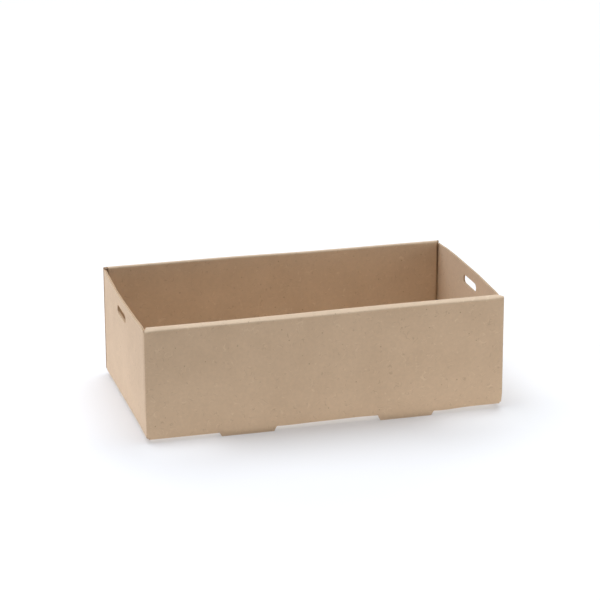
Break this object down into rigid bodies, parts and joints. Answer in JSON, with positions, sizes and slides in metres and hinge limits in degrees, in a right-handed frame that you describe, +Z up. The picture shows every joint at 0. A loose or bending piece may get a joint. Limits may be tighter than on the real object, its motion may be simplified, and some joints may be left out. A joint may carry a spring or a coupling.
{
  "type": "cardboard tray box",
  "caption": "Open rectangular board tray folded from one sheet, with rolled-over long walls, slots to grip in the end walls and low feet.",
  "frame": {"origin": "under the middle of the tray, on the surface that the feet stand on", "axes": "+X along the tray, +Y across it, +Z up out of its open top"},
  "size_m": [0.2636, 0.15, 0.0847],
  "materials": {
    "board": "matt brown kraft liner on single-wall corrugated board"
  },
  "bodies": {
    "root": {"tray": "board"}
  },
  "joints": []
}
